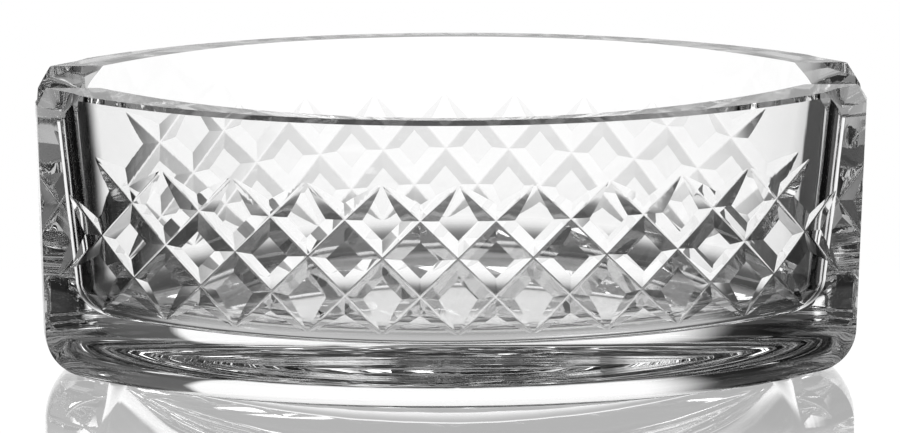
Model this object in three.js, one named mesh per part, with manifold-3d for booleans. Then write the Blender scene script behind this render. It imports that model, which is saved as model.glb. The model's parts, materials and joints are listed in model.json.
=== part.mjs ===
// A boat-shaped desk ashtray in one piece of thick colourless cut crystal.
// Millimetres, +Z up. The origin is the middle of the flat base, and X runs along the tray.
import * as THREE from "three";
import { mergeVertices } from "three/addons/utils/BufferGeometryUtils.js";
import Module from "manifold-3d";

const wasm = await Module();
wasm.setup();

// Body seen from above: two long bowed sides that meet in narrow blunt ends.
const LENGTH = 150;
const DEPTH = 71.4;
const END_WIDTH = 18;
const END_BOW = 0.8;
const SIDE_SWEEP = THREE.MathUtils.degToRad(54.5);

// Body seen from the front.
const HEIGHT = 54.4;
const BASE_THICKNESS = 12;
const OUTER_DRAFT = THREE.MathUtils.degToRad(1.1);
const BASE_EDGE_RADIUS = 9;

// Bevel ground round the rim: small on the sides, tall at the four end corners.
const RIM_BEVEL_WIDTH = 0.8;
const RIM_BEVEL_HEIGHT = 0.8;
const END_BEVEL_WIDTH = 1.7;
const END_BEVEL_HEIGHT = 3.3;
const END_BEVEL_LENGTH = 6.4;
const END_BEVEL_RUNOUT = 3.5;

// Bowl, pressed with more draft than the outside.
const BOWL_LENGTH = 135.6;
const BOWL_DEPTH = 66.2;
const BOWL_END_WIDTH = 14;
const BOWL_END_BOW = 3;
const BOWL_SWEEP = THREE.MathUtils.degToRad(43.5);
const BOWL_DRAFT = THREE.MathUtils.degToRad(6);
const BOWL_FLOOR_RADIUS = 6;

// The rest for a cigarette, cut through the rim at each end.
const REST_WIDTH = 17.5;
const REST_SLOPE = THREE.MathUtils.degToRad(45);
const REST_BOTTOM_RADIUS = 4;

// Band of crossing V cuts on the two long walls.
const CUT_PITCH = 13.4;
const CUT_ROW_HEIGHT = 6.9;
const CUT_ROWS = 4;
const CUT_TOP_DROP = 11.3;
const CUT_WIDTH = 5;
const CUT_DEPTH = 0.9;
const CUT_END_MARGIN = 6;

// How finely the curves are stepped.
const END_STEPS = 4;
const BOWL_END_STEPS = 5;
const BOWL_SIDE_STEPS = 16;
const EDGE_STEPS = 6;
const FLOOR_STEPS = 5;
const REST_STEPS = 8;
const LEAST_FLAT = 1.5;
const OVERCUT = 1;
const WELD = 1e-4;

const wall = {
  halfLength: LENGTH / 2,
  halfDepth: DEPTH / 2,
  halfEnd: END_WIDTH / 2,
  bow: END_BOW,
  sweep: SIDE_SWEEP,
};
const bowl = {
  halfLength: BOWL_LENGTH / 2,
  halfDepth: BOWL_DEPTH / 2,
  halfEnd: BOWL_END_WIDTH / 2,
  bow: BOWL_END_BOW,
  sweep: BOWL_SWEEP,
};

// The ellipse that a long side follows, from the middle of the side to its end corner.
function sideEllipse(plan, inset) {
  const halfDepth = plan.halfDepth - inset;
  const shrink = halfDepth / plan.halfDepth;
  const halfEnd = plan.halfEnd * shrink;
  const cornerX = plan.halfLength - inset - plan.bow * shrink;
  const semiLong = cornerX / Math.sin(plan.sweep);
  const semiShort = (halfDepth - halfEnd) / (1 - Math.cos(plan.sweep));
  const middle = Math.PI / 2;
  return new THREE.EllipseCurve(
    0,
    halfDepth - semiShort,
    semiLong,
    semiShort,
    middle,
    middle - plan.sweep,
    true,
  );
}

// A point of one quarter of the outline: station 0 is the middle of the end, 1 the corner
// and 2 the middle of the side. The inset draws the same outline a little smaller.
function planPoint(plan, station, inset) {
  if (station >= 1) {
    return sideEllipse(plan, inset).getPoint(2 - station);
  }
  const shrink = (plan.halfDepth - inset) / plan.halfDepth;
  const halfEnd = plan.halfEnd * shrink;
  const bow = plan.bow * shrink;
  const radius = (bow * bow + halfEnd * halfEnd) / (2 * bow);
  const angle = Math.asin(halfEnd / radius) * station;
  const x = plan.halfLength - inset - radius * (1 - Math.cos(angle));
  return new THREE.Vector2(x, radius * Math.sin(angle));
}

// One closed ring of points round the plan, anticlockwise from the middle of the right end.
// levelAt gives the height and the inset at a station.
function ring(plan, stations, levelAt) {
  const quarter = stations.map((station) => {
    const { z, inset } = levelAt(station);
    const p = planPoint(plan, station, inset);
    return new THREE.Vector3(p.x, p.y, z);
  });
  const turned = (points, signX, signY) =>
    points.map((p) => new THREE.Vector3(signX * p.x, signY * p.y, p.z));
  const back = [...quarter].reverse();
  return [
    ...quarter,
    ...turned(back.slice(1), -1, 1),
    ...turned(quarter.slice(1), -1, -1),
    ...turned(back.slice(1, -1), 1, -1),
  ];
}

// A closed skin over a stack of rings, with a fan of triangles over each end.
function loft(rings) {
  const count = rings[0].length;
  const points = rings.flat();
  const index = [];
  for (let level = 0; level + 1 < rings.length; level++) {
    for (let i = 0; i < count; i++) {
      const next = (i + 1) % count;
      const a = level * count + i;
      const b = level * count + next;
      const c = b + count;
      const d = a + count;
      index.push(a, b, c, a, c, d);
    }
  }
  const addFan = (first, facingUp) => {
    const middle = new THREE.Vector3();
    for (let i = 0; i < count; i++) {
      middle.addScaledVector(points[first + i], 1 / count);
    }
    const hub = points.push(middle) - 1;
    for (let i = 0; i < count; i++) {
      const here = first + i;
      const there = first + ((i + 1) % count);
      index.push(hub, ...(facingUp ? [here, there] : [there, here]));
    }
  };
  addFan(0, false);
  addFan((rings.length - 1) * count, true);
  const geometry = new THREE.BufferGeometry().setFromPoints(points);
  geometry.setIndex(index);
  return geometry;
}

// A closed three.js geometry as a solid that can be joined and cut.
function solidOf(geometry) {
  const bare = geometry.index ? geometry.toNonIndexed() : geometry.clone();
  bare.deleteAttribute("normal");
  bare.deleteAttribute("uv");
  const merged = mergeVertices(bare, WELD);
  return new wasm.Manifold(
    new wasm.Mesh({
      numProp: 3,
      vertProperties: merged.attributes.position.array,
      triVerts: new Uint32Array(merged.index.array),
    }),
  );
}

// A solid back as a three.js geometry.
function geometryOf(solid) {
  const mesh = solid.getMesh();
  const geometry = new THREE.BufferGeometry();
  const positions = new THREE.BufferAttribute(mesh.vertProperties, 3);
  geometry.setAttribute("position", positions);
  geometry.setIndex(new THREE.BufferAttribute(mesh.triVerts, 1));
  geometry.computeVertexNormals();
  return geometry;
}

const sideCurve = sideEllipse(wall, 0);
const sideLength = sideCurve.getLength();
const halfPitch = CUT_PITCH / 2;

// The station of a point on the long side, by its distance from the middle along the wall.
function stationAt(distance) {
  return 2 - sideCurve.getUtoTmapping(0, distance);
}

// Stations of the outer wall. Its flats meet on the columns of the cut pattern.
function wallStations() {
  const bevelFull = sideLength - END_BEVEL_LENGTH;
  const bevelStart = bevelFull - END_BEVEL_RUNOUT;
  const columns = Math.floor((bevelStart - LEAST_FLAT) / halfPitch);
  const stations = [];
  for (let i = 0; i <= END_STEPS; i++) {
    stations.push(i / END_STEPS);
  }
  stations.push(stationAt(bevelFull), stationAt(bevelStart));
  for (let column = columns; column >= 0; column--) {
    stations.push(stationAt(column * halfPitch));
  }
  return stations;
}

// The rim bevel at a station: the tall one at the ends, the small one along the sides.
function bevelAt(station) {
  const change = sideLength - END_BEVEL_LENGTH - END_BEVEL_RUNOUT / 2;
  const isEnd = station < stationAt(change);
  return {
    width: isEnd ? END_BEVEL_WIDTH : RIM_BEVEL_WIDTH,
    height: isEnd ? END_BEVEL_HEIGHT : RIM_BEVEL_HEIGHT,
  };
}

// How far the outer wall has drawn in at a height below the rim.
function outerInset(z) {
  return (HEIGHT - z) * Math.tan(OUTER_DRAFT);
}

// The solid block of glass, before anything is cut from it.
function makeBlock() {
  const stations = wallStations();
  const rings = [];
  const edgeInset = outerInset(BASE_EDGE_RADIUS);
  for (let i = 0; i <= EDGE_STEPS; i++) {
    const angle = (Math.PI / 2) * (i / EDGE_STEPS);
    const z = BASE_EDGE_RADIUS * (1 - Math.cos(angle));
    const inset = edgeInset + BASE_EDGE_RADIUS * (1 - Math.sin(angle));
    rings.push(ring(wall, stations, () => ({ z, inset })));
  }
  rings.push(
    ring(wall, stations, (station) => {
      const z = HEIGHT - bevelAt(station).height;
      return { z, inset: outerInset(z) };
    }),
  );
  rings.push(
    ring(wall, stations, (station) => ({
      z: HEIGHT,
      inset: bevelAt(station).width,
    })),
  );
  return solidOf(loft(rings));
}

// What the plunger leaves free: the bowl, from its rounded floor to just above the rim.
function makeBowl() {
  const stations = [];
  for (let i = 0; i < BOWL_END_STEPS; i++) {
    stations.push(i / BOWL_END_STEPS);
  }
  for (let i = 0; i <= BOWL_SIDE_STEPS; i++) {
    stations.push(1 + i / BOWL_SIDE_STEPS);
  }
  const insetAt = (z) => (HEIGHT - z) * Math.tan(BOWL_DRAFT);
  const edgeTop = BASE_THICKNESS + BOWL_FLOOR_RADIUS;
  const rings = [];
  for (let i = 0; i <= FLOOR_STEPS; i++) {
    const angle = (Math.PI / 2) * (i / FLOOR_STEPS);
    const z = edgeTop - BOWL_FLOOR_RADIUS * Math.cos(angle);
    const inset = insetAt(edgeTop) + BOWL_FLOOR_RADIUS * (1 - Math.sin(angle));
    rings.push(ring(bowl, stations, () => ({ z, inset })));
  }
  const top = HEIGHT + OVERCUT;
  rings.push(ring(bowl, stations, () => ({ z: top, inset: insetAt(top) })));
  return solidOf(loft(rings));
}

// The V channel that runs the whole length of the tray. It meets glass only at the two ends,
// where the bowl is narrower than it, and cuts both rests there.
function makeRests() {
  const run = Math.tan(REST_SLOPE);
  const half = REST_WIDTH / 2;
  const apexDrop = half * run;
  const centreDrop = apexDrop - REST_BOTTOM_RADIUS / Math.cos(REST_SLOPE);
  const wide = half + OVERCUT / run;
  const lean = Math.PI / 2 - REST_SLOPE;
  const shape = new THREE.Shape();
  shape.moveTo(wide, OVERCUT);
  shape.lineTo(-wide, OVERCUT);
  shape.absarc(0, -centreDrop, REST_BOTTOM_RADIUS, Math.PI + lean, 2 * Math.PI - lean, false);
  shape.closePath();
  const length = LENGTH + 2 * OVERCUT;
  const geometry = new THREE.ExtrudeGeometry(shape, {
    depth: length,
    bevelEnabled: false,
    curveSegments: REST_STEPS,
  });
  const alongX = new THREE.Matrix4().makeBasis(
    new THREE.Vector3(0, 1, 0),
    new THREE.Vector3(0, 0, 1),
    new THREE.Vector3(1, 0, 0),
  );
  geometry.applyMatrix4(alongX);
  geometry.translate(-length / 2, 0, HEIGHT);
  return solidOf(geometry);
}

// A point of the outer wall and the direction away from it. The distance runs along the wall
// from the middle of the side, the drop is taken from the rim, and face is 1 behind, -1 in front.
function wallPoint(distance, drop, face) {
  const station = stationAt(Math.abs(distance));
  const mirror = Math.sign(distance) || 1;
  const z = HEIGHT - drop;
  const curve = sideEllipse(wall, outerInset(z));
  const p = curve.getPoint(2 - station);
  const tangent = curve.getTangent(2 - station);
  return {
    point: new THREE.Vector3(mirror * p.x, face * p.y, z),
    outward: new THREE.Vector3(-mirror * tangent.y, face * tangent.x, 0),
  };
}

// The wedge that one V cut takes out of the wall, from pointed end to pointed end.
// It starts at a row and runs down sideways, half a pitch for each row.
function makeCut(column, firstRow, lastRow, lean, face) {
  const steps = [];
  for (let row = firstRow; row <= lastRow; row++) {
    const distance = lean * (column + row / 2) * CUT_PITCH;
    const drop = CUT_TOP_DROP + row * CUT_ROW_HEIGHT;
    steps.push({ row, ...wallPoint(distance, drop, face) });
  }
  const flare = CUT_WIDTH / 2 / CUT_DEPTH;
  const sections = steps.map(({ row, point, outward }, i) => {
    const before = steps[Math.max(i - 1, 0)].point;
    const after = steps[Math.min(i + 1, steps.length - 1)].point;
    const along = after.clone().sub(before);
    along.addScaledVector(outward, -along.dot(outward)).normalize();
    const across = along.clone().cross(outward);
    const isTip = row === firstRow || row === lastRow;
    const depth = isTip ? 0 : CUT_DEPTH;
    const halfTop = flare * (CUT_DEPTH + OVERCUT);
    const place = (out, aside) =>
      point.clone().addScaledVector(outward, out).addScaledVector(across, aside);
    const top = CUT_DEPTH + OVERCUT - depth;
    return [place(-depth, 0), place(top, -halfTop), place(top, halfTop)];
  });
  return solidOf(loft(sections));
}

// All cuts of the pattern: on both faces, leaning both ways, clipped at the ends of the wall.
function makeCuts() {
  const reach = Math.floor((sideLength - CUT_END_MARGIN) / halfPitch) / 2;
  const room = HEIGHT - CUT_TOP_DROP - BASE_EDGE_RADIUS;
  const rows = Math.min(CUT_ROWS, Math.floor(room / CUT_ROW_HEIGHT));
  const cuts = [];
  const first = -Math.ceil(reach + rows / 2);
  for (let column = first; column <= reach; column++) {
    const firstRow = Math.max(0, 2 * (-reach - column));
    const lastRow = Math.min(rows, 2 * (reach - column));
    if (lastRow - firstRow < rows - 1) {
      continue;
    }
    for (const face of [-1, 1]) {
      for (const lean of [-1, 1]) {
        cuts.push(makeCut(column, firstRow, lastRow, lean, face));
      }
    }
  }
  return cuts;
}

const taken = [makeBowl(), makeRests(), ...makeCuts()];
let glass = makeBlock();
for (const piece of taken) {
  glass = glass.subtract(piece);
}

const crystal = new THREE.MeshStandardMaterial({
  color: 0xf3f6f6,
  roughness: 0.03,
  metalness: 0,
  transparent: true,
  opacity: 0.35,
});

const body = new THREE.Mesh(geometryOf(glass), crystal);
body.name = "glass_body";

const ashtray = new THREE.Group();
ashtray.add(body);

export default ashtray;
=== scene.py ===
# %% [markdown]
# # A boat-shaped ashtray of cut crystal
# The real object is one thick piece of clear glass. It is moulded as a plain boat with a bowl in
# it. Then the rim is ground flat and bevelled, a V rest is ground through each end, and a band of
# crossing V cuts is ground into both long walls. Clear glass shows every surface at once, the far
# ones through the near ones, so here each of these steps becomes real geometry, in the same order.

import json
import math

import bmesh
import bpy
import numpy as np
from mathutils import Matrix, Vector

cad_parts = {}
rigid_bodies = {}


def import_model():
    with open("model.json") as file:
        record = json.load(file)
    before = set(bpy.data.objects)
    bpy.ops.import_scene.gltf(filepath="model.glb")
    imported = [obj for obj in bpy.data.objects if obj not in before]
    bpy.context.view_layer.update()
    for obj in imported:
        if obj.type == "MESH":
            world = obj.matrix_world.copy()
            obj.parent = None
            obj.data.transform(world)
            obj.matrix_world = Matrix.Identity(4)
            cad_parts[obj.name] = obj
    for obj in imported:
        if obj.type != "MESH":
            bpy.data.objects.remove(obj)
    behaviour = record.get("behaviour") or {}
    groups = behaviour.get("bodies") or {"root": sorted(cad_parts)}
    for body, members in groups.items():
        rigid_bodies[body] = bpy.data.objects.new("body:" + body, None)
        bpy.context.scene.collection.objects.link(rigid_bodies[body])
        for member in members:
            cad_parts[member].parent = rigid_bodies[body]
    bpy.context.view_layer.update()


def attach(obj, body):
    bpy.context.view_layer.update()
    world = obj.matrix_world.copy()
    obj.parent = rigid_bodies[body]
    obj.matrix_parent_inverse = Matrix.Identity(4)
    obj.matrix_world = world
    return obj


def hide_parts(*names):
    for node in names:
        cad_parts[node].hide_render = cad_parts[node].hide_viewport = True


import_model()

# %% [markdown]
# ## The camera
# The photograph was taken with a long lens, a little from above, with the right end of the tray
# turned slightly away. A long lens far away keeps the two ends the same size. A camera can be
# turned by three angles, but building its axes from the direction of the view says more plainly
# where it looks. A very small shift of the lens puts the tray where the photograph has it.

# %% Camera
MM = 0.001
CAMERA_AIM_HEIGHT = 26.25
CAMERA_DISTANCE = 900
CAMERA_ELEVATION = math.radians(14.82)
CAMERA_TURN = math.radians(2.14)
CAMERA_ROLL = math.radians(-0.2)
LENS = 198.17
LENS_SHIFT = (-0.00094, 0.01049)


def place_camera():
    aim = Vector((0, 0, CAMERA_AIM_HEIGHT * MM))
    right = Vector((math.cos(CAMERA_TURN), -math.sin(CAMERA_TURN), 0))
    ahead_flat = Vector((math.sin(CAMERA_TURN), math.cos(CAMERA_TURN), 0))
    ahead = ahead_flat * math.cos(CAMERA_ELEVATION) - Vector((0, 0, math.sin(CAMERA_ELEVATION)))
    up = right.cross(ahead)
    rolled_right = right * math.cos(CAMERA_ROLL) - up * math.sin(CAMERA_ROLL)
    rolled_up = right * math.sin(CAMERA_ROLL) + up * math.cos(CAMERA_ROLL)
    axes = Matrix((rolled_right, rolled_up, -ahead)).transposed().to_4x4()
    camera = bpy.data.objects.new("camera", bpy.data.cameras.new("camera"))
    camera.matrix_world = Matrix.Translation(aim - ahead * CAMERA_DISTANCE * MM) @ axes
    camera.data.lens = LENS
    camera.data.shift_x, camera.data.shift_y = LENS_SHIFT
    bpy.context.scene.collection.objects.link(camera)
    bpy.context.scene.camera = camera
    return camera


camera = place_camera()
print("camera at", tuple(round(c, 4) for c in camera.location))

# %% [markdown]
# ## The plan of the wall and of the bowl
# Seen from above, the tray is a lens with blunt ends: each long side is a piece of an ellipse, and
# each end a shallow arc. The bowl has a plan of the same kind, a wall's thickness inside it. A
# station names a place on a quarter of the outline: 0 is the middle of the end, 1 the corner and
# 2 the middle of the side. A curve could draw such an outline too. Computed points are better
# here, because every ring of the tray can ask for the same stations, and so the rings fit each
# other point to point. All sizes are millimetres, and become metres at the very end.

# %% Plan sizes
HEIGHT = 54.4
LENGTH = 150
DEPTH = 71.4
END_WIDTH = 18
END_BOW = 0.8
SIDE_SWEEP = math.radians(54.5)
BOWL_LENGTH = 135.6
BOWL_DEPTH = 66.2
BOWL_END_WIDTH = 14
BOWL_END_BOW = 3
BOWL_SWEEP = math.radians(43.5)


def lens_plan(length, depth, end_width, bow, sweep):
    return dict(half_length=length / 2, half_depth=depth / 2, half_end=end_width / 2, bow=bow, sweep=sweep)


wall = lens_plan(LENGTH, DEPTH, END_WIDTH, END_BOW, SIDE_SWEEP)
bowl = lens_plan(BOWL_LENGTH, BOWL_DEPTH, BOWL_END_WIDTH, BOWL_END_BOW, BOWL_SWEEP)
print("glass between the two plans at the rim:", round((DEPTH - BOWL_DEPTH) / 2, 2), "mm")


# %% Points of the plan
def side_ellipse(plan, inset):
    """The two half axes of the ellipse of a long side, and the half depth of the plan."""
    half_depth = plan["half_depth"] - inset
    shrink = half_depth / plan["half_depth"]
    corner_x = plan["half_length"] - inset - plan["bow"] * shrink
    semi_long = corner_x / math.sin(plan["sweep"])
    semi_short = (half_depth - plan["half_end"] * shrink) / (1 - math.cos(plan["sweep"]))
    return semi_long, semi_short, half_depth


def side_point(plan, turn, inset):
    """x and y on a long side, at an angle of its ellipse from the middle of the side."""
    semi_long, semi_short, half_depth = side_ellipse(plan, inset)
    return semi_long * np.sin(turn), half_depth - semi_short * (1 - np.cos(turn))


def end_point(plan, share, inset):
    """x and y on an end, at a share of the way from its middle to its corner."""
    shrink = (plan["half_depth"] - inset) / plan["half_depth"]
    half_end = plan["half_end"] * shrink
    bow = plan["bow"] * shrink
    radius = (bow * bow + half_end * half_end) / (2 * bow)
    angle = math.asin(half_end / radius) * share
    return plan["half_length"] - inset - radius * (1 - np.cos(angle)), radius * np.sin(angle)


def ring(plan, stations, height, inset):
    """A closed ring round the plan, anticlockwise from the middle of the right end."""
    heights = np.broadcast_to(height, len(stations))
    insets = np.broadcast_to(inset, len(stations))
    quarter = []
    for station, z, d in zip(stations, heights, insets):
        if station >= 1:
            x, y = side_point(plan, (2 - station) * plan["sweep"], d)
        else:
            x, y = end_point(plan, station, d)
        quarter.append((x, y, z))
    quarter = np.array(quarter)
    back = quarter[::-1]
    return np.concatenate([
        quarter,
        back[1:] * (-1, 1, 1),
        quarter[1:] * (-1, -1, 1),
        back[1:-1] * (1, -1, 1),
    ])


corner_x, corner_y = side_point(wall, SIDE_SWEEP, 0)
print("corner of the wall at", round(corner_x, 2), round(corner_y, 2), "mm")

# %% [markdown]
# ## The side wall as a flat strip
# The grinder's cuts follow the bowed and slightly drafted wall. Cutting them there would need a
# bent path for each. It is easier to draw them straight on a flat strip, and to bend the strip
# round the plan afterwards. For that, distances along the wall have to be turned into angles of
# the ellipse. There is no formula for it, so a fine table of the arc length does it.

# %% Distance along the side
ARC_POINTS = 4001

turns = np.linspace(0, SIDE_SWEEP, ARC_POINTS)
side_x, side_y = side_point(wall, turns, 0)
arc = np.concatenate([[0], np.cumsum(np.hypot(np.diff(side_x), np.diff(side_y)))])
side_length = arc[-1]
print("half of a long side measures", round(side_length, 2), "mm")


def turn_at(distance):
    return np.interp(distance, arc, turns)


# %% Bending round the side
OUTER_DRAFT = math.radians(1.1)


def outer_inset(z):
    """How far the wall has drawn in at a height, because the mould lets go of the glass."""
    return (HEIGHT - z) * math.tan(OUTER_DRAFT)


def bend_round_side(points, face):
    """Flat strip to wall: (distance along, depth into the glass, height) becomes x, y, z."""
    distance, depth, z = np.array(points).T
    turn = turn_at(np.abs(distance))
    hand = np.where(distance < 0, -1.0, 1.0)
    semi_long, semi_short, half_depth = side_ellipse(wall, outer_inset(z))
    x = semi_long * np.sin(turn)
    y = half_depth - semi_short * (1 - np.cos(turn))
    away = np.stack([semi_short * np.sin(turn), semi_long * np.cos(turn)])
    away /= np.hypot(*away)
    return np.stack([hand * (x - depth * away[0]), face * (y - depth * away[1]), z], axis=1)


print("the wall draws in by", round(float(outer_inset(0)), 2), "mm from the rim to the foot")

# %% [markdown]
# ## One V cut
# A cut is ground with a pointed wheel that runs slantwise down the wall. It enters gently, so both
# ends of the cut are long points, and the polished bottom of the V is not quite sharp. A plain
# prism as a cutter would leave blunt ends. So the wheel's section is drawn once and moved along
# the path, at the depth that the wheel has reached there.

# %% The wheel's section
CUT_WIDTH = 5.0
CUT_DEPTH = 0.9
CUT_BOTTOM_RADIUS = 0.8
CUT_BOTTOM_STEPS = 6
CLEARANCE = 1.0


def mesh_object(name, points, faces):
    mesh = bpy.data.meshes.new(name)
    mesh.from_pydata([tuple(p) for p in points], [], faces)
    piece = bpy.data.objects.new(name, mesh)
    bpy.context.scene.collection.objects.link(piece)
    return piece


def wheel_section():
    """Across and above the point of the V: flank, rounded bottom, flank."""
    slope = math.atan2(CUT_DEPTH, CUT_WIDTH / 2)
    above = CUT_DEPTH + CLEARANCE
    half_top = above / math.tan(slope)
    centre = CUT_BOTTOM_RADIUS / math.cos(slope)
    bottom = []
    for angle in np.linspace(-slope, slope, CUT_BOTTOM_STEPS + 1):
        bottom.append((CUT_BOTTOM_RADIUS * math.sin(angle), centre - CUT_BOTTOM_RADIUS * math.cos(angle)))
    return np.array([(-half_top, above), *bottom, (half_top, above)])


print("flanks of a cut slope at", round(math.degrees(math.atan2(CUT_DEPTH, CUT_WIDTH / 2)), 1), "degrees")


# %% One wedge of glass
RUN_IN_STEPS = 8
RUN_IN_FULLNESS = 1.5


def wedge(name, start, end, run_in):
    """The glass that one cut takes away, between two points of the flat strip."""
    start, end = np.array(start), np.array(end)
    length = np.hypot(*(end - start))
    along = (end - start) / length
    across = np.array([-along[1], along[0]])
    share = np.linspace(0, 1, RUN_IN_STEPS + 1)
    reach = np.concatenate([share * run_in, length - share[::-1] * run_in])
    sunk = CUT_DEPTH * (1 - (1 - share) ** RUN_IN_FULLNESS)
    depths = np.concatenate([sunk, sunk[::-1]])
    section = wheel_section()
    points = []
    for travelled, depth in zip(reach, depths):
        foot = start + along * travelled
        for aside, above in section:
            at = foot + across * aside
            points.append((at[0], depth - above, at[1]))
    count = len(section)
    faces = [tuple(range(count))[::-1], tuple(range(len(points) - count, len(points)))]
    for step in range(len(reach) - 1):
        here, ahead = step * count, (step + 1) * count
        for i in range(count):
            j = (i + 1) % count
            faces.append((here + i, here + j, ahead + j, ahead + i))
    return mesh_object(name, points, faces)


print("a cut runs in and out in", RUN_IN_STEPS, "steps, to", CUT_DEPTH, "mm deep")

# %% [markdown]
# ## The crossing pattern
# The cuts lean both ways at one even pitch, so they cross in rows and leave small square lands
# between them. The band is clipped before the corners, where a cut shorter than three rows is
# left out. A bump in the material could only pretend such cuts, and clear glass would give it
# away, since light has to bend at each flank. So a boolean takes all the wedges out of the strip.
# One strip serves both walls, because front and back are cut alike.

# %% The flat strip
BASE_EDGE_RADIUS = 9
RIM_BEVEL = (0.8, 0.8)
END_BEVEL = (1.7, 3.3)
END_BEVEL_LENGTH = 6.4
END_BEVEL_RUNOUT = 3.5
STRIP_THICKNESS = 4

bevel_full = side_length - END_BEVEL_LENGTH
bevel_start = bevel_full - END_BEVEL_RUNOUT


def flat_strip():
    """The side wall unrolled, with the step of the bevel's foot at both ends."""
    low = HEIGHT - END_BEVEL[1]
    high = HEIGHT - RIM_BEVEL[1]
    right = [(side_length, BASE_EDGE_RADIUS), (side_length, low), (bevel_full, low), (bevel_start, high)]
    outline = right + [(-u, z) for u, z in reversed(right)]
    count = len(outline)
    points = [(u, 0, z) for u, z in outline] + [(u, STRIP_THICKNESS, z) for u, z in outline]
    faces = [tuple(range(count)), tuple(range(count, 2 * count))[::-1]]
    for i in range(count):
        j = (i + 1) % count
        faces.append((j, i, i + count, j + count))
    return mesh_object("flat_strip", points, faces)


print("the bevel grows from", round(bevel_start, 2), "to", round(bevel_full, 2), "mm along the side")


# %% The wedges of the pattern
CUT_PITCH = 13.4
CUT_ROW_HEIGHT = 6.9
CUT_ROWS = 4
CUT_TOP_DROP = 11.3
CUT_END_MARGIN = 6


def strip_place(column, row, lean):
    """Distance along and height of a crossing of the pattern."""
    return lean * (column + row / 2) * CUT_PITCH, HEIGHT - CUT_TOP_DROP - row * CUT_ROW_HEIGHT


def cut_pattern():
    run_in = math.hypot(CUT_PITCH / 2, CUT_ROW_HEIGHT)
    reach = math.floor((side_length - CUT_END_MARGIN) / (CUT_PITCH / 2)) / 2
    wedges = []
    for column in range(-math.ceil(reach + CUT_ROWS / 2), math.floor(reach) + 1):
        first = max(0, int(2 * (-reach - column)))
        last = min(CUT_ROWS, int(2 * (reach - column)))
        if last - first < CUT_ROWS - 1:
            continue
        for lean in (-1, 1):
            start, end = (strip_place(column, row, lean) for row in (first, last))
            wedges.append(wedge(f"wedge_{len(wedges)}", start, end, run_in))
    print("cuts of one wall:", len(wedges))
    return wedges


# %% Grinding them out
def repair_normals(piece):
    bm = bmesh.new()
    bm.from_mesh(piece.data)
    bmesh.ops.recalc_face_normals(bm, faces=bm.faces)
    bmesh.ops.triangulate(bm, faces=bm.faces)
    bm.to_mesh(piece.data)
    bm.free()


def subtract(piece, cutters):
    """Takes the cutters out of the piece, and removes them from the scene."""
    tools = bpy.data.collections.new("cutters")
    bpy.context.scene.collection.children.link(tools)
    for cutter in cutters:
        repair_normals(cutter)
        tools.objects.link(cutter)
    repair_normals(piece)
    cut = piece.modifiers.new("cut", "BOOLEAN")
    cut.operation = "DIFFERENCE"
    cut.solver = "EXACT"
    cut.operand_type = "COLLECTION"
    cut.collection = tools
    cut.use_self = False
    evaluated = piece.evaluated_get(bpy.context.evaluated_depsgraph_get())
    made = bpy.data.meshes.new_from_object(evaluated)
    piece.modifiers.clear()
    piece.data = made
    for cutter in cutters:
        bpy.data.objects.remove(cutter)
    bpy.data.collections.remove(tools)


strip = flat_strip()
subtract(strip, cut_pattern())
print("cut strip:", len(strip.data.vertices), "points,", len(strip.data.polygons), "faces")

# %% [markdown]
# Bending only works where there are points to move, so the strip is first sliced into narrow
# columns. Its back and its edges are thrown away: only the cut surface is bent round the tray.

# %% Columns of the strip
COLUMN = 0.8
NARROWEST_COLUMN = 0.3
LAST_COLUMN_GAP = 0.5
FACING_OUT = -0.2
FLAT_ENOUGH = math.radians(0.05)
SLICE_TOLERANCE = 1e-5

bevel_ends = (bevel_full, bevel_start)
columns = {round(u, 6) for u in np.arange(0, side_length - LAST_COLUMN_GAP, COLUMN)}
columns = {u for u in columns if min(abs(u - end) for end in bevel_ends) > NARROWEST_COLUMN}
columns = sorted(columns | {*bevel_ends, side_length})


def cut_surface(strip):
    """Points and faces of the cut side of the strip, sliced across at every column."""
    bm = bmesh.new()
    bm.from_mesh(strip.data)
    bmesh.ops.delete(bm, geom=[f for f in bm.faces if f.normal.y > FACING_OUT], context="FACES")
    bmesh.ops.dissolve_limit(bm, angle_limit=FLAT_ENOUGH, verts=bm.verts, edges=bm.edges)
    across = dict(plane_no=(1, 0, 0), dist=SLICE_TOLERANCE)
    for u in columns[:-1]:
        for place in ((-u, 0, 0), (u, 0, 0)):
            everything = bm.verts[:] + bm.edges[:] + bm.faces[:]
            bmesh.ops.bisect_plane(bm, geom=everything, plane_co=place, **across)
    bmesh.ops.triangulate(bm, faces=bm.faces)
    bm.verts.index_update()
    points = np.array([v.co for v in bm.verts])
    faces = [[v.index for v in f.verts] for f in bm.faces]
    bm.free()
    return points, faces


strip_points, strip_faces = cut_surface(strip)
bpy.data.objects.remove(strip)
print("sliced strip:", len(strip_points), "points,", len(strip_faces), "faces")

# %% [markdown]
# ## The block
# The block is everything outside: a flat foot with a well rounded edge, the end walls, the bevel
# and the flat rim. A bevel tool could round the foot, but its draft and the changing bevel of the
# rim are easier to hold exactly in a stack of rings. The two bent strips are set into the gap for
# the long walls. Rings and strips use the same stations, so their edges meet point to point and
# can be welded.

# %% The block
END_STEPS = 16
EDGE_STEPS = 32
BLOCK_WELD = 1e-3

wall_stations = [i / END_STEPS for i in range(END_STEPS)]
wall_stations += [2 - turn_at(u) / SIDE_SWEEP for u in reversed(columns)]
wall_stations[END_STEPS] = 1.0


def bevel_at(distance):
    """Width and height of the rim bevel: tall at the corner, small along the side."""
    return [np.interp(distance, (bevel_start, bevel_full), sizes) for sizes in zip(RIM_BEVEL, END_BEVEL)]


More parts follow.
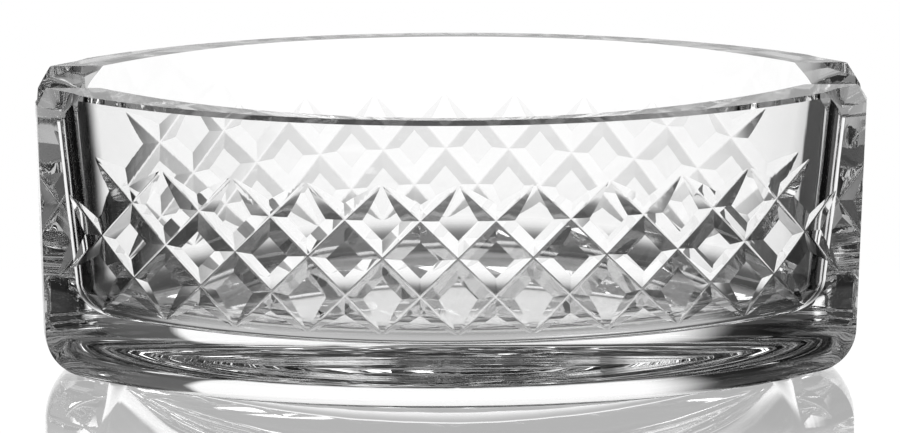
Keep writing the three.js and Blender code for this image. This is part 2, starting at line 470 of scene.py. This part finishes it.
def skin(rings, keep=lambda level, i: True):
    """Points and faces of a skin over a stack of rings, closed at both ends."""
    count = len(rings[0])
    faces = [tuple(range(count))[::-1]]
    for level in range(len(rings) - 1):
        for i in range(count):
            j = (i + 1) % count
            if keep(level, i):
                here, above = level * count, (level + 1) * count
                faces.append((here + i, here + j, above + j, above + i))
    faces.append(tuple(range((len(rings) - 1) * count, len(rings) * count)))
    return np.concatenate(rings), faces


print("stations on a quarter of the wall:", len(wall_stations))


# %% Its rings
def rounded_edge(plan, stations, bottom, radius, inset, steps):
    """Rings of a quarter circle, from a flat up into a wall that stands at that inset."""
    rings = []
    for angle in np.linspace(0, math.pi / 2, steps + 1):
        z = bottom + radius * (1 - math.cos(angle))
        rings.append(ring(plan, stations, z, inset + radius * (1 - math.sin(angle))))
    return rings


def is_plain(level, i):
    """Whether a face of the skin stays, or leaves its place to a bent strip."""
    quarter = len(wall_stations) - 1
    place = i % (2 * quarter)
    from_end = min(place, 2 * quarter - 1 - place)
    return level != EDGE_STEPS or from_end < END_STEPS


def make_block():
    edge_inset = outer_inset(BASE_EDGE_RADIUS)
    rings = rounded_edge(wall, wall_stations, 0, BASE_EDGE_RADIUS, edge_inset, EDGE_STEPS)
    distances = [side_length] * END_STEPS + columns[::-1]
    bevels = np.array([bevel_at(u) for u in distances])
    foot = HEIGHT - bevels[:, 1]
    rings.append(ring(wall, wall_stations, foot, outer_inset(foot)))
    rings.append(ring(wall, wall_stations, HEIGHT, bevels[:, 0]))
    points, faces = skin(rings, is_plain)
    for face in (-1, 1):
        first = len(points)
        points = np.concatenate([points, bend_round_side(strip_points, face)])
        faces += [tuple(first + i for i in f) for f in strip_faces]
    block = mesh_object("crystal_body", points, faces)
    bm = bmesh.new()
    bm.from_mesh(block.data)
    bmesh.ops.remove_doubles(bm, verts=bm.verts, dist=BLOCK_WELD)
    bmesh.ops.recalc_face_normals(bm, faces=bm.faces)
    loose = [e for e in bm.edges if len(e.link_faces) != 2]
    print("block:", len(bm.verts), "points,", len(bm.faces), "faces,", len(loose), "open edges")
    bm.to_mesh(block.data)
    bm.free()
    return block


block = make_block()

# %% [markdown]
# ## The bowl and the rests
# The bowl is what the plunger of the mould leaves free: slanted walls and a rounded floor edge. The
# rests are one V channel with a rounded bottom, ground through both ends in one pass. The lines
# where these surfaces meet are hard to work out by hand. So both are made as closed solids that
# stand a little proud of the block, and one boolean takes them out of it.

# %% The bowl
BASE_THICKNESS = 12
BOWL_DRAFT = math.radians(6)
BOWL_FLOOR_RADIUS = 6
BOWL_END_STEPS = 24
BOWL_SIDE_STEPS = 120
FLOOR_STEPS = 24
BOWL_WALL_STEPS = 6


def make_bowl():
    stations = [i / BOWL_END_STEPS for i in range(BOWL_END_STEPS)]
    stations += [1 + i / BOWL_SIDE_STEPS for i in range(BOWL_SIDE_STEPS + 1)]
    edge_top = BASE_THICKNESS + BOWL_FLOOR_RADIUS
    edge_inset = (HEIGHT - edge_top) * math.tan(BOWL_DRAFT)
    rings = rounded_edge(bowl, stations, BASE_THICKNESS, BOWL_FLOOR_RADIUS, edge_inset, FLOOR_STEPS)
    for z in np.linspace(edge_top, HEIGHT + CLEARANCE, BOWL_WALL_STEPS + 1)[1:]:
        rings.append(ring(bowl, stations, z, (HEIGHT - z) * math.tan(BOWL_DRAFT)))
    return mesh_object("bowl_cutter", *skin(rings))


bowl_cutter = make_bowl()
print("bowl cutter:", len(bowl_cutter.data.vertices), "points")


# %% The rests
REST_WIDTH = 17.5
REST_SLOPE = math.radians(45)
REST_BOTTOM_RADIUS = 4
REST_STEPS = 24


def make_rests():
    half = REST_WIDTH / 2
    run = math.tan(REST_SLOPE)
    centre = HEIGHT - half * run + REST_BOTTOM_RADIUS / math.cos(REST_SLOPE)
    wide = half + CLEARANCE / run
    profile = [(wide, HEIGHT + CLEARANCE), (-wide, HEIGHT + CLEARANCE)]
    for angle in np.linspace(-REST_SLOPE, REST_SLOPE, REST_STEPS + 1):
        aside, down = REST_BOTTOM_RADIUS * math.sin(angle), REST_BOTTOM_RADIUS * math.cos(angle)
        profile.append((aside, centre - down))
    reach = LENGTH / 2 + CLEARANCE
    rings = [np.array([(x, y, z) for y, z in profile]) for x in (-reach, reach)]
    return mesh_object("rest_cutter", *skin(rings))


rest_cutter = make_rests()
print("rest cutter:", len(rest_cutter.data.vertices), "points")
subtract(block, [bowl_cutter, rest_cutter])
print("body:", len(block.data.vertices), "points,", len(block.data.polygons), "faces")

# %% [markdown]
# ## Crisp edges on smooth walls
# Ground glass has crisp edges between surfaces that are perfectly smooth. Every edge where the
# surface turns sharply is marked sharp, and everything else is shaded smooth. The cuts are so
# shallow that their edges turn by less than some smooth curves do, so an edge between the plain
# wall and a cut is marked by what it borders on, and not by its angle.

# %% Which faces are plain wall
WALL_TOLERANCE = 0.004
EDGE_TOLERANCE = 0.01


def on_wall(face):
    """Whether a face is a piece of the long wall itself, and not of a cut."""
    for vert in face.verts:
        x, y, z = np.abs(vert.co)
        semi_long, semi_short, half_depth = side_ellipse(wall, outer_inset(z))
        if z < BASE_EDGE_RADIUS - EDGE_TOLERANCE or x > semi_long:
            return False
        surface = half_depth - semi_short * (1 - math.sqrt(1 - (x / semi_long) ** 2))
        if abs(surface - y) > WALL_TOLERANCE:
            return False
    return True


# %% Sharp and smooth edges
SHARPEST_SMOOTH = math.radians(11)
BODY_WELD = 2e-3
THINNEST_FACE = 1e-3


def finish_surface(piece):
    bm = bmesh.new()
    bm.from_mesh(piece.data)
    bmesh.ops.remove_doubles(bm, verts=bm.verts, dist=BODY_WELD)
    bmesh.ops.dissolve_degenerate(bm, edges=bm.edges, dist=THINNEST_FACE)
    plain = {face for face in bm.faces if on_wall(face)}
    sharp = 0
    for face in bm.faces:
        face.smooth = True
    for edge in bm.edges:
        one_kind = len({face in plain for face in edge.link_faces}) == 1
        edge.smooth = one_kind and edge.calc_face_angle(0) < SHARPEST_SMOOTH
        sharp += not edge.smooth
    bmesh.ops.scale(bm, verts=bm.verts, vec=(MM, MM, MM))
    loose = [e for e in bm.edges if len(e.link_faces) != 2]
    print("finished:", len(bm.verts), "points,", len(bm.faces), "faces,", len(plain), "of plain wall")
    print("edges:", sharp, "sharp,", len(loose), "open")
    bm.to_mesh(piece.data)
    bm.free()


# %% Normals that keep flats flat
NORMAL_WEIGHT = 80


def weigh_normals(piece):
    """Lets the large faces rule at an edge, so that flats stay flat up to their rounded edges."""
    weighing = piece.modifiers.new("weigh", "WEIGHTED_NORMAL")
    weighing.mode = "FACE_AREA"
    weighing.weight = NORMAL_WEIGHT
    weighing.keep_sharp = True
    evaluated = piece.evaluated_get(bpy.context.evaluated_depsgraph_get())
    made = bpy.data.meshes.new_from_object(evaluated)
    piece.modifiers.clear()
    piece.data = made


finish_surface(block)
weigh_normals(block)
block.data.materials.clear()
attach(block, "root")
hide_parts("glass_body")
print("corners with a normal of their own:", len(block.data.loops))

# %% [markdown]
# ## The glass
# The body is clear and polished, so nearly all that is seen of it is bent and mirrored light. Two
# traces of the making show. The rim was ground flat on a fine wheel and kept a satin grain, and
# the pressed and polished faces are very slightly wavy, which makes the reflections in the thick
# base run in streaks. Both are far too fine for geometry, so a noise in the glass's own
# coordinates makes them, as a roughness and as a bump.

# %% Small helpers for node trees
def input_socket(node, name):
    """An input by its name, or by its number: i0 is the first."""
    if name[0] == "i" and name[1:].isdigit():
        return node.inputs[int(name[1:])]
    return node.inputs[name]


def new_node(tree, kind, **inputs):
    """A node of that kind, with values or other nodes' sockets for its inputs."""
    node = tree.nodes.new(kind)
    for name, value in inputs.items():
        socket = input_socket(node, name)
        if isinstance(value, bpy.types.NodeSocket):
            tree.links.new(value, socket)
        else:
            socket.default_value = value
    return node


def calculate(tree, operation, *values):
    node = new_node(tree, "ShaderNodeMath", **{f"i{i}": v for i, v in enumerate(values)})
    node.operation = operation
    return node.outputs[0]


def fade(tree, value, start, end, low=0.0, high=1.0):
    """Goes smoothly from low at start to high at end."""
    node = tree.nodes.new("ShaderNodeMapRange")
    node.interpolation_type = "SMOOTHSTEP"
    if start > end:
        start, end, low, high = end, start, high, low
    tree.links.new(value, node.inputs["Value"])
    for name, number in (("From Min", start), ("From Max", end), ("To Min", low), ("To Max", high)):
        node.inputs[name].default_value = number
    return node.outputs["Result"]


# %% Crystal
GLASS_BENDING = 1.545
RIM_DEPTH = (0.08, 0.01)
RIM_GRAIN = 1400
GRAIN_DETAIL = 4.0
GRAIN_CONTRAST = (0.35, 0.65)
RIM_ROUGHNESS = (0.02, 0.12)
RIM_GRAIN_HEIGHT = 0.004
WAVE_PER_METRE = 90
WAVE_DETAIL = 1.0
WAVE_HEIGHT = 0.03


def noise(tree, place, scale, detail):
    return new_node(tree, "ShaderNodeTexNoise", Vector=place, Scale=scale, Detail=detail).outputs["Fac"]


def crystal_material():
    material = bpy.data.materials.new("crystal")
    material.use_nodes = True
    tree = material.node_tree
    shader = tree.nodes["Principled BSDF"]
    shader.inputs["Base Color"].default_value = (1, 1, 1, 1)
    shader.inputs["IOR"].default_value = GLASS_BENDING
    shader.inputs["Transmission Weight"].default_value = 1.0
    place = new_node(tree, "ShaderNodeTexCoord").outputs["Object"]
    height = new_node(tree, "ShaderNodeSeparateXYZ", i0=place).outputs["Z"]
    rim = fade(tree, height, *((HEIGHT - depth) * MM for depth in RIM_DEPTH))
    grain = noise(tree, place, RIM_GRAIN, GRAIN_DETAIL)
    satin = fade(tree, grain, *GRAIN_CONTRAST, *RIM_ROUGHNESS)
    tree.links.new(calculate(tree, "MULTIPLY", rim, satin), shader.inputs["Roughness"])
    wave = noise(tree, place, WAVE_PER_METRE, WAVE_DETAIL)
    waves = calculate(tree, "MULTIPLY", wave, WAVE_HEIGHT * MM)
    rim_grain = calculate(tree, "MULTIPLY", grain, rim)
    ground = calculate(tree, "MULTIPLY", rim_grain, RIM_GRAIN_HEIGHT * MM)
    relief = calculate(tree, "ADD", waves, ground)
    bump = new_node(tree, "ShaderNodeBump", Strength=1.0, Distance=1.0, Height=relief)
    tree.links.new(bump.outputs["Normal"], shader.inputs["Normal"])
    print("crystal:", len(tree.nodes), "nodes, bends light by", GLASS_BENDING)
    return material


block.data.materials.append(crystal_material())

# %% [markdown]
# ## Light for clear glass
# Clear glass has no colour of its own: it shows its surroundings, bent. In a plain white room it
# would all but vanish, so photographers put a bright panel behind it and dark flags beside it.
# Then its edges and its thick base draw themselves in dark lines. Here the sky has these bright
# and dark directions. Lamps and boards could stand there instead, but a sky has no noise and never
# gets in the way. Only rays that glass or table has bent or mirrored see it, and all other rays
# see plain white. A direction is a turn to the right of straight back, and a rise above the table,
# both in degrees. Every part of the sky has soft borders: four numbers say where it starts to
# show, where it is full, where it starts to fade and where it ends.

# %% Bright and dark directions
PANEL = dict(turn=(-24, -13, 25.5, 28.5), rise=(-90, -89, 25.5, 41), light=1.1)
HIGH_BACK = dict(turn=(-60, -45, 40, 60), rise=(30, 40, 70, 80), light=0.05)
RIGHT_WALL = dict(turn=(22, 27, 50, 60), rise=(-90, -89, 28, 32), light=0.1)
LEFT_BOX = dict(turn=(-98, -95, -79, -76), rise=(56, 58, 68, 70), light=2.5)
BACK_BOX = dict(turn=(20, 23, 37, 40), rise=(56, 58, 68, 70), light=2.5)
RIGHT_BOX = dict(turn=(104, 107, 123, 126), rise=(56, 58, 68, 70), light=2.5)
LIGHTS = (PANEL, HIGH_BACK, RIGHT_WALL, LEFT_BOX, BACK_BOX, RIGHT_BOX)


def window(tree, value, borders):
    """1 inside the four borders, 0 outside, and soft between."""
    start, full, fading, end = borders
    return calculate(tree, "MULTIPLY", fade(tree, value, start, full), fade(tree, value, end, fading))


print("lit parts of the sky:", len(LIGHTS))

# %% [markdown]
# The rest of the sky is nearly black flags, with two exceptions that keep the glass clear when it is
# seen from elsewhere. Low in front of the tray the room is fairly light, and a narrow dim box
# stands on either side.

# %% The dim room
FLAG_LIGHT = 0.003
LOW_RISE = (22, 16)
SIDE_TURN = (60, 75)
SIDE_LIGHT = 0.03
SIDE_BOX_TURN = (80, 84, 96, 100)
SIDE_BOX_LIGHT = 0.3
FRONT_TURN = (112, 126)
FRONT_LIGHT = 0.6


def room_light(tree, turn, rise):
    aside = calculate(tree, "ABSOLUTE", turn)
    side = fade(tree, aside, *SIDE_TURN, 0.0, SIDE_LIGHT)
    box = calculate(tree, "MULTIPLY", window(tree, aside, SIDE_BOX_TURN), SIDE_BOX_LIGHT)
    front = fade(tree, aside, *FRONT_TURN, 0.0, FRONT_LIGHT)
    light = calculate(tree, "MAXIMUM", calculate(tree, "MAXIMUM", side, box), front)
    low = fade(tree, rise, *LOW_RISE)
    return calculate(tree, "MAXIMUM", calculate(tree, "MULTIPLY", low, light), FLAG_LIGHT)


# %% The sky
def studio_sky():
    world = bpy.data.worlds.new("studio")
    bpy.context.scene.world = world
    world.use_nodes = True
    tree = world.node_tree
    tree.nodes.clear()
    way = new_node(tree, "ShaderNodeTexCoord").outputs["Generated"]
    x, y, z = new_node(tree, "ShaderNodeSeparateXYZ", i0=way).outputs
    turn = calculate(tree, "DEGREES", calculate(tree, "ARCTAN2", x, y))
    rise = calculate(tree, "DEGREES", calculate(tree, "ARCSINE", z))
    light = room_light(tree, turn, rise)
    for part in LIGHTS:
        wide = window(tree, turn, part["turn"])
        shape = calculate(tree, "MULTIPLY", wide, window(tree, rise, part["rise"]))
        light = calculate(tree, "MAXIMUM", light, calculate(tree, "MULTIPLY", shape, part["light"]))
    path = new_node(tree, "ShaderNodeLightPath").outputs
    bent = calculate(tree, "MAXIMUM", path["Is Glossy Ray"], path["Is Transmission Ray"])
    strength = new_node(tree, "ShaderNodeMix", i0=bent, i2=1.0, i3=light).outputs[0]
    back = new_node(tree, "ShaderNodeBackground", Color=(1, 1, 1, 1), Strength=strength)
    new_node(tree, "ShaderNodeOutputWorld", Surface=back.outputs[0])
    print("sky:", len(tree.nodes), "nodes")


studio_sky()

# %% [markdown]
# ## The table
# The tray stands on a glossy white table. Seen straight, the table is white up to the horizon, and
# near the tray it mirrors it, most at a low angle, as all gloss does. Seen through the glass, it
# mirrors the sky at a low angle, and steeply from above its own white shows. There its brightness
# is painted light and shade: painted light in a lane behind and before the tray, a painted shadow
# under it, and painted shade at the ends, where the flags stand. A board under lamps would do for a
# solid object. Here the material paints how bright each place is, so that the white background and
# the light inside the glass can be set apart.

# %% Where on the table
LANE_SPREAD = 0.36


def table_place(tree):
    """Distance out from the tray, in half trays, and metres aside in a lane that widens."""
    place = new_node(tree, "ShaderNodeNewGeometry").outputs["Position"]
    x, y, z = new_node(tree, "ShaderNodeSeparateXYZ", i0=place).outputs
    out_x = calculate(tree, "DIVIDE", x, LENGTH / 2 * MM)
    out_y = calculate(tree, "DIVIDE", y, DEPTH / 2 * MM)
    squares = [calculate(tree, "MULTIPLY", out, out) for out in (out_x, out_y)]
    away = calculate(tree, "SQRT", calculate(tree, "ADD", *squares))
    past = calculate(tree, "SUBTRACT", calculate(tree, "ABSOLUTE", y), DEPTH / 2 * MM)
    spread = calculate(tree, "MULTIPLY", calculate(tree, "MAXIMUM", past, 0.0), LANE_SPREAD)
    aside = calculate(tree, "SUBTRACT", calculate(tree, "ABSOLUTE", x), spread)
    return away, aside


# %% Its painted light and shade, seen through the glass
# A painted shadow under the tray, painted light in a lane behind and before it, and painted shade at the
# ends.
PAINTED_SHADOW_UNDER = 0.05
PAINTED_LIGHT_AWAY = 0.8
SHADE_REACH = (1.0, 2.2)
LANE_EDGE = (0.09, 0.06)
STEEP_GLOW = 0.6
STEEP_FACING = (0.3, 0.17)
STEEP_REACH = (1.0, 0.7)
STEEP_OUTSIDE = 0.5


# The table's brightness for bent rays is painted: a shadow under the tray, light in a lane, shade at the
# ends, and a painted white where it is seen steeply.
def painted_light_through_glass(tree, away, aside, facing):
    shade = fade(tree, away, *SHADE_REACH, PAINTED_SHADOW_UNDER, PAINTED_LIGHT_AWAY)
    lane = calculate(tree, "MULTIPLY", shade, fade(tree, aside, *LANE_EDGE))
    steep = fade(tree, facing, *STEEP_FACING, 0.0, STEEP_GLOW)
    inside = fade(tree, away, *STEEP_REACH, STEEP_OUTSIDE, 1.0)
    return calculate(tree, "MAXIMUM", lane, calculate(tree, "MULTIPLY", steep, inside))


# %% Gloss of the table
MIRROR_SHARE = 0.58
MIRROR_FADE = (2.3, 1.3)
MIRROR_FACING = (0.2, 0.7)
MIRROR_ROUGHNESS = 0.01
BENT_FACING = (0.35, 0.75)
BENT_SHARE = (0.1, 0.95)


def mirror_share(tree, away, facing, straight):
    """How much the table mirrors, to the eye itself and to rays that glass has bent."""
    near = fade(tree, away, *MIRROR_FADE)
    slant = calculate(tree, "MULTIPLY", fade(tree, facing, *MIRROR_FACING), MIRROR_SHARE)
    seen = calculate(tree, "MULTIPLY", near, slant)
    low, high = BENT_FACING
    least, most = BENT_SHARE
    bent = new_node(tree, "ShaderNodeMapRange", Value=facing, i1=low, i2=high, i3=least, i4=most)
    return new_node(tree, "ShaderNodeMix", i0=straight, i2=bent.outputs[0], i3=seen).outputs[0]


def table_material():
    material = bpy.data.materials.new("white_table")
    material.use_nodes = True
    tree = material.node_tree
    tree.nodes.clear()
    away, aside = table_place(tree)
    facing = new_node(tree, "ShaderNodeLayerWeight", Blend=0.5).outputs["Facing"]
    straight = new_node(tree, "ShaderNodeLightPath").outputs["Is Camera Ray"]
    # Rays that glass has bent see the painted light and shade of the table; the eye itself sees plain
    # white.
    seen = painted_light_through_glass(tree, away, aside, facing)
    strength = new_node(tree, "ShaderNodeMix", i0=straight, i2=seen, i3=1.0).outputs[0]
    glow = new_node(tree, "ShaderNodeEmission", Color=(1, 1, 1, 1), Strength=strength)
    mirror = new_node(tree, "ShaderNodeBsdfGlossy", Color=(1, 1, 1, 1), Roughness=MIRROR_ROUGHNESS)
    share = mirror_share(tree, away, facing, straight)
    mix = new_node(tree, "ShaderNodeMixShader", i0=share, i1=glow.outputs[0], i2=mirror.outputs[0])
    new_node(tree, "ShaderNodeOutputMaterial", Surface=mix.outputs[0])
    print("table:", len(tree.nodes), "nodes")
    return material


# %% The table itself
TABLE_REACH = 4000
TABLE_GAP = 0.05

table_corners = [
    (hand * TABLE_REACH * MM, side * TABLE_REACH * MM, -TABLE_GAP * MM)
    for hand, side in ((-1, -1), (1, -1), (1, 1), (-1, 1))
]
floor = mesh_object("floor", table_corners, [(0, 1, 2, 3)])
floor.data.materials.append(table_material())
print("table:", 2 * TABLE_REACH * MM, "m across")

# %% [markdown]
# ## Enough bounces
# A ray that enters the thick base may be mirrored inside it many times before it leaves. With too
# few bounces allowed it ends as black, so the glass gets more than the usual number.

# %% Bounces
ALL_BOUNCES = 32
GLASS_BOUNCES = 24

scene = bpy.context.scene
scene.view_settings.view_transform = "Standard"
scene.cycles.max_bounces = ALL_BOUNCES
scene.cycles.glossy_bounces = GLASS_BOUNCES
scene.cycles.transmission_bounces = GLASS_BOUNCES
print("bounces:", ALL_BOUNCES, "in all,", GLASS_BOUNCES, "through glass")
